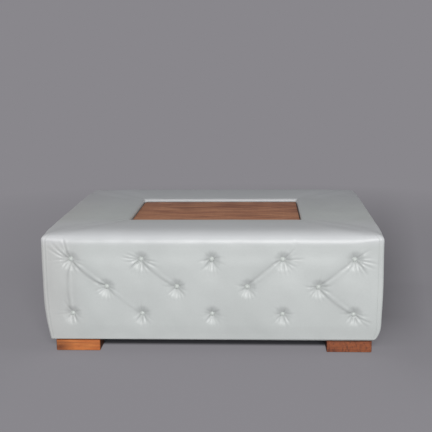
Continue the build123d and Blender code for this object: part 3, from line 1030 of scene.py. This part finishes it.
def scuffed_plastic(name, base):
    """Hard plastic with fine paler scratches."""
    finish = Finish(name, Specular_IOR_Level=0.5)
    where = finish.stretched((1.0, 16.0, 1.0), turn=(0, 0, 0.5))
    scratches = finish.noise(120.0, where, detail=5.0, rough=0.75)
    paler = tuple(2.4 * part + 0.02 for part in base)
    tone = finish.mix(finish.limit(scratches, 0.45, 0.75) * 0.5, base, paler)
    raised = finish.bump(scratches, 0.2, 0.0002)
    return finish.wear(Base_Color=tone, Roughness=0.36 + scratches * 0.3, Normal=raised)


dust_cloth_black = fibre_cloth("dust_cloth_black", colour(52, 52, 54), colour(30, 30, 32), 900.0, 0.0003)
felt_grey = fibre_cloth("lining_felt_grey", colour(118, 116, 112), colour(84, 82, 80), 500.0, 0.0008)
zinc = drawn_metal("zinc_steel", colour(186, 188, 192), 0.28)
glide_nylon = scuffed_plastic("glide_nylon_black", colour(36, 36, 38))
thread = fibre_cloth("thread_grey_green", colour(190, 196, 192), colour(150, 156, 152), 2600.0, 0.0001)
print("materials:", len(bpy.data.materials))


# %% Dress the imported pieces
def dress(node, finish):
    """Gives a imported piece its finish, without touching its mesh."""
    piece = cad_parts[node]
    if not piece.material_slots:
        piece.data.materials.append(finish)
    for slot in piece.material_slots:
        slot.material = finish


finish_of = dict(board=board_wood, glides=glide_nylon, foot_screws=zinc, deck_panel=plywood)
finish_of |= dict(foot_front_left=foot_light, foot_front_right=foot_red)
finish_of |= dict(foot_back_left=foot_red, foot_back_right=foot_light)
for side in ("left", "right"):
    finish_of |= {f"cross_rail_{side}": pine, f"post_front_{side}": pine, f"post_back_{side}": pine}
for side in sides:
    rail = pine_long if side in ("front", "back") else pine
    finish_of |= {f"panel_{side}": plywood, f"base_rail_{side}": rail, f"well_strip_{side}": rail}
for node, finish in finish_of.items():
    dress(node, finish)
print("packed pieces dressed:", len(finish_of))

# %% [markdown]
# ## Covered buttons
# A covered button is a shallow metal dome wrapped in a disc of the same hide, with a rolled edge where the
# hide turns under. Every tuft gets one, facing out of the padding and a little askew, as a hammered button
# sits. The tree is given a mesh of bare points, each with the direction it faces.

# %% The tree that makes buttons
button_sizes = dict(radius=8.2 * MM, rise=5.4 * MM, rim=0.9 * MM, lean=0.05)
buttons = Tree("covered_buttons", **button_sizes, seed=seed, finish=button_hide)
ball = buttons.node("GeometryNodeMeshUVSphere", None, {"Segments": 24, "Rings": 14, "Radius": 1.0})
dome_size = {0: buttons["radius"], 1: buttons["radius"], 2: buttons["rise"]}
dome_size = buttons.node("ShaderNodeCombineXYZ", None, dome_size)
dome = buttons.node("GeometryNodeTransform", None, {"Geometry": ball, "Scale": dome_size})
edge_line, edge_round = (
    buttons.node("GeometryNodeCurvePrimitiveCircle", None, {"Resolution": count, "Radius": buttons[key]})
    for count, key in ((28, "radius"), (8, "rim"))
)
edge = buttons.node("GeometryNodeCurveToMesh", None, {"Curve": edge_line, "Profile Curve": edge_round})
button = buttons.node("GeometryNodeJoinGeometry", None, {0: dome})
buttons.feed(button.socket.node.inputs[0], edge)
smooth_button = buttons.node("GeometryNodeSetShadeSmooth", None, {0: button})
facing = buttons.node("GeometryNodeInputNamedAttribute", {"data_type": "FLOAT_VECTOR"}, {"Name": "facing"})
buttons.finish(buttons["Geometry"], smooth_button, buttons.askew(facing, buttons["lean"]))


# %% Buttons on each side
def bare_points(name, points, facings=None, edges=()):
    """A mesh of bare points or lines, with the direction each point faces."""
    data = bpy.data.meshes.new(name)
    data.from_pydata([tuple(point) for point in points], [tuple(edge) for edge in edges], [])
    if facings is not None:
        facing = data.attributes.new("facing", "FLOAT_VECTOR", "POINT")
        facing.data.foreach_set("vector", np.ravel(facings).astype(np.float32))
    return link(name, data)


proud = 0.6 * MM
for name, side in sides.items():
    along, out = np.array(side["along"]), np.array(side["out"])
    spots = []
    for _, _, where, row_height in tuft_places(name):
        reach = side["reach"] - float(side_inset(row_height)) - tuft_depth + proud
        spots.append((*(where * along + reach * out), row_height))
    carrier = bare_points("button_points", spots, [(*out, 0)] * len(spots))
    made = buttons.grow(f"covered_buttons_{name}", carrier)
    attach(made, "base")
    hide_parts(f"buttons_{name}")

# %% [markdown]
# ## Stitches beside the seams
# The skin is cut in panels that are sewn together near the ends of the front and the back. A line of small
# thread stitches runs beside each seam. The path is read off the finished net, so that the stitches lie on
# the leather however it swelled, and the tree sets them out at even steps.


# %% The tree that sets short rods out along a path
def along_path(name, finish, step, long, thick, jitter, rod_sides):
    """A tree that lays short rods along a path."""
    tree = Tree(name, step=step, long=long, thick=thick, jitter=jitter, seed=seed, finish=finish)
    rod_sizes = {"Vertices": rod_sides, "Radius": tree["thick"], "Depth": tree["long"]}
    rod = tree.node("GeometryNodeMeshCylinder", {"fill_type": "NGON"}, rod_sizes)
    path = tree.node("GeometryNodeMeshToCurve", None, {0: tree["Geometry"]})
    path_sizes = {"Curve": path, "Length": tree["step"]}
    evenly = tree.node("GeometryNodeResampleCurve", {"mode": "LENGTH"}, path_sizes)
    tree.finish(evenly, rod, tree.askew(tree.node("GeometryNodeInputTangent"), tree["jitter"]))
    return tree


stitches = along_path("corner_stitches", thread, 5.5 * MM, 3.8 * MM, 0.45 * MM, 0.04, 6)
facing_out = outward(leather_net)
stitched = np.flatnonzero((kinds == "side") & (up[:, 0] > 12 * MM))
stitch_share = 1 - 6.6 * MM / straight_x
paths, joins = [], []
for number, end in ((0, -1), (0, 1), (2, -1), (2, 1)):
    straight = np.flatnonzero((cols[:, 0] == number) & (angle == 0))
    beside = straight[np.argmin(np.abs(cols[straight, 1] - end * stitch_share))]
    line = leather_net[stitched, beside] + facing_out[stitched, beside] * 0.15 * MM
    joins += [(len(paths) + k, len(paths) + k + 1) for k in range(len(line) - 1)]
    paths += line.tolist()
made = stitches.grow("corner_stitching", bare_points("seam_paths", paths, edges=joins))
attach(made, "base")

# %% [markdown]
# ## Staples
# Under the frame the leather is pulled over the lower edge and stapled. A staple shows only its crown, a
# short wire pressed into the hide, one about every three centimetres and none quite in line.

# %% Staples round the hem
staples = along_path("hem_staples", zinc, 31 * MM, 10 * MM, 0.5 * MM, 0.12, 8)
line_x, line_y = half_x - 40 * MM, half_y - 40 * MM
clear_x, clear_y = 0.395, 0.39
ends = [(-clear_x, -line_y), (clear_x, -line_y), (line_x, -clear_y), (line_x, clear_y)]
ends += [(-end_x, -end_y) for end_x, end_y in ends]
spots = [(*end, sole - 0.3 * MM) for end in ends]
made = staples.grow("hem_staples", bare_points("staple_paths", spots, edges=[(0, 1), (2, 3), (4, 5), (6, 7)]))
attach(made, "base")

# %% [markdown]
# ## Cloth under the frame and felt under the board
# Two plain sheets. The dust cloth is stapled inside the hem and hangs a few millimetres slack in the middle,
# clear of the feet. The felt is laid in the well and lies flat with a barely wavy face. Both are nets
# too: a top and a bottom face with a closed edge.


# %% A thin sheet, and how each one hangs
def quads(index):
    """Faces between the points of an open net."""
    return np.stack([index[:-1, :-1], index[:-1, 1:], index[1:, 1:], index[1:, :-1]], axis=2).reshape(-1, 4)


def thin_sheet(name, half_width, half_length, low, thick, sag):
    """A closed thin sheet: low is its lower face's height, and sag a function that adds to both faces."""
    x, y = np.meshgrid(np.linspace(-half_width, half_width, 61), np.linspace(-half_length, half_length, 51))
    under = np.stack([x, y, low + sag(x / half_width, y / half_length)], axis=2)
    over = under + np.array([0, 0, thick])
    index = np.arange(x.size).reshape(x.shape)
    faces = quads(index + x.size).tolist() + quads(index)[:, ::-1].tolist()
    for line in (index[0], index[:, -1], index[-1][::-1], index[::-1, 0]):
        near, after = line[:-1], line[1:]
        faces += np.stack([near, after, after + x.size, near + x.size], axis=1).tolist()
    return mesh_of(name, np.concatenate([under.reshape(-1, 3), over.reshape(-1, 3)]), faces)


def slack(across, along):
    """The dust cloth's sag: uneven, deepest in the middle, and none near the corners, where the feet are."""
    bowl = ((1 - across**2) * (1 - along**2)) ** 1.2
    uneven = 1 + 0.15 * np.sin(7 * across + 2) * np.sin(5 * along)
    return -3.5 * MM * bowl * uneven * within(0.9 * np.abs(across) + 0.5 * np.abs(along), 1.32, 1.02)


def ripple(across, along):
    """The felt's faint waves, which only go down."""
    return 0.12 * MM * (np.sin(23 * across + 1) * np.sin(17 * along + 2) - 1)


# %% The two sheets
inside_hem = (hem_high.x - 0.5 * MM, hem_high.y - 0.5 * MM)
dust_cloth = thin_sheet("dust_cloth_sheet", *inside_hem, sole + 0.4 * MM, 0.7 * MM, slack)
dust_cloth.data.materials.append(dust_cloth_black)
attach(dust_cloth, "base")
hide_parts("dust_cloth")

inside_well = (well_x - 1.2 * MM, well_y - 1.2 * MM)
felt = thin_sheet("well_felt", *inside_well, deck_top + 0.3 * MM, 1.7 * MM, ripple)
felt.data.materials.append(felt_grey)
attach(felt, "base")
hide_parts("well_lining")
print("sheets:", dust_cloth.name, felt.name)

# %% [markdown]
# ## Camera
# The camera was solved from the table's edges in the photograph: its lens, its place, and the three angles
# that it is turned by.

# %% The camera
sensor, lens_pixels, frame_pixels = 36, 866.6, 432
eye = Vector((0.1685, -3.4501, 1.0726))
pitch, yaw, roll = 0.1906, 0.0511, -0.0100
ahead = Vector((-sin(yaw) * cos(pitch), cos(yaw) * cos(pitch), -sin(pitch)))
level = Vector((cos(yaw), sin(yaw), 0))
upright = level.cross(ahead)
right, upward = level * cos(roll) + upright * sin(roll), upright * cos(roll) - level * sin(roll)
camera = link("camera", bpy.data.cameras.new("camera"))
camera.data.sensor_width = sensor
camera.data.lens = sensor * lens_pixels / frame_pixels
camera.matrix_world = Matrix((right, upward, -ahead)).transposed().to_4x4()
camera.matrix_world.translation = eye
bpy.context.scene.camera = camera
print(f"lens {camera.data.lens:.1f} mm, {eye.length:.2f} m from the table")

# %% [markdown]
# ## Light and floor
# A studio look: one large soft key light in front, a weak light on each side, and a grey room that fills the
# shadows. The floor is a plain plane. Its tone is darker under the body, a painted shadow, and to its right,
# where the photograph shows a soft shade, which is painted too. Its far part takes the background's tone for
# the camera, so no horizon shows; near the body part of its tone is that glow too, most in front of the body,
# a painted light that pales the shadow there. From below it is clear, so that the underside can be looked at.


# %% The lights
def soft_light(name, where, towards, size, watts):
    """A square soft light."""
    lamp = bpy.data.lights.new(name, "AREA")
    lamp.shape, lamp.size, lamp.energy = "SQUARE", size, watts
    made = link(name, lamp)
    made.location = where
    made.rotation_euler = (Vector(towards) - Vector(where)).to_track_quat("-Z", "Y").to_euler()


soft_light("key_light", (0.7, -7.5, 3.0), (0, 0, 0.25), 3.4, 508)
soft_light("left_light", (-4.4, 0.8, 2.2), (0, 0, 0.2), 2.0, 50)
soft_light("right_light", (4.0, -1.2, 2.0), (0, 0, 0.3), 1.6, 24)
print("lights:", sorted(lamp.name for lamp in bpy.data.lights))

# %% The room
background = colour(137, 135, 140)
world = bpy.data.worlds.new("studio")
world.use_nodes = True
bpy.context.scene.world = world
world.node_tree.nodes.clear()
room = Nodes(world.node_tree, "ShaderNode")
seen = room.node("Background", None, {"Color": background})
lit = room.node("Background", None, {"Color": (0.203, 0.204, 0.212)})
mixed = room.node("MixShader", None, {0: room.node("LightPath", output="Is Camera Ray"), 1: lit, 2: seen})
room.node("OutputWorld", None, {0: mixed})

# %% The floor's tone
ground = Finish("studio_floor", Roughness=0.9, Specular_IOR_Level=0.1)
east, north, _ = ground.parts(ground.place)
# Painted shadow: the floor's tone is darker under the body.
clear_east = ground.limit(abs(east), half_x - 0.14, half_x)
clear_north = ground.limit(abs(north), half_y - 0.115, half_y - 0.088)
outside = ground.larger(clear_east, clear_north)
# Painted soft shade to the right of the body.
right_shade = ground.limit(east - 0.146 * north, 0.86, 0.66) * ground.limit(east, 0.1, 0.5)
right_shade = right_shade * ground.limit(north, -0.42, -0.05)
open_floor = ground.mix(right_shade * 0.6, colour(158, 156, 161), (0, 0, 0))
ground.wear(Base_Color=ground.mix(outside, colour(116, 116, 122), open_floor))

# %% How the floor joins the background
# Painted light: in front of the body the floor takes more of the background's glow, which pales the shadow
# there.
in_front = ground.limit(north, -0.385, -0.415) * ground.limit(abs(east), half_x + 0.1, half_x - 0.1)
near_share = outside * (0.34 + 0.46 * in_front)
away = ground.node("VectorMath", {"operation": "LENGTH"}, {0: ground.place}, "Value")
fade = near_share + (1 - near_share) * ground.limit(away, 1.1, 3.5)
fade = fade * ground.node("LightPath", output="Is Camera Ray")
glow = ground.node("Emission", None, {"Color": background})
lit_floor = Value(ground, ground.shader.outputs[0])
joined = ground.node("MixShader", None, {0: fade, 1: lit_floor, 2: glow})
from_below = ground.node("NewGeometry", output="Backfacing")
one_sided = ground.node("MixShader", None, {0: from_below, 1: joined, 2: ground.node("BsdfTransparent")})
ground.feed(ground.tree.nodes["Material Output"].inputs["Surface"], one_sided)

# %% The floor
far_edge = 60.0
corners = [(far_edge * a, far_edge * b, 0) for a, b in ((-1, -1), (1, -1), (1, 1), (-1, 1))]
floor = mesh_of("studio_floor", corners, [(0, 1, 2, 3)], soft_shading=False)
floor.data.materials.append(ground.material)

view = bpy.context.scene.view_settings
view.view_transform = "Standard"
print("floor nodes:", len(ground.tree.nodes))
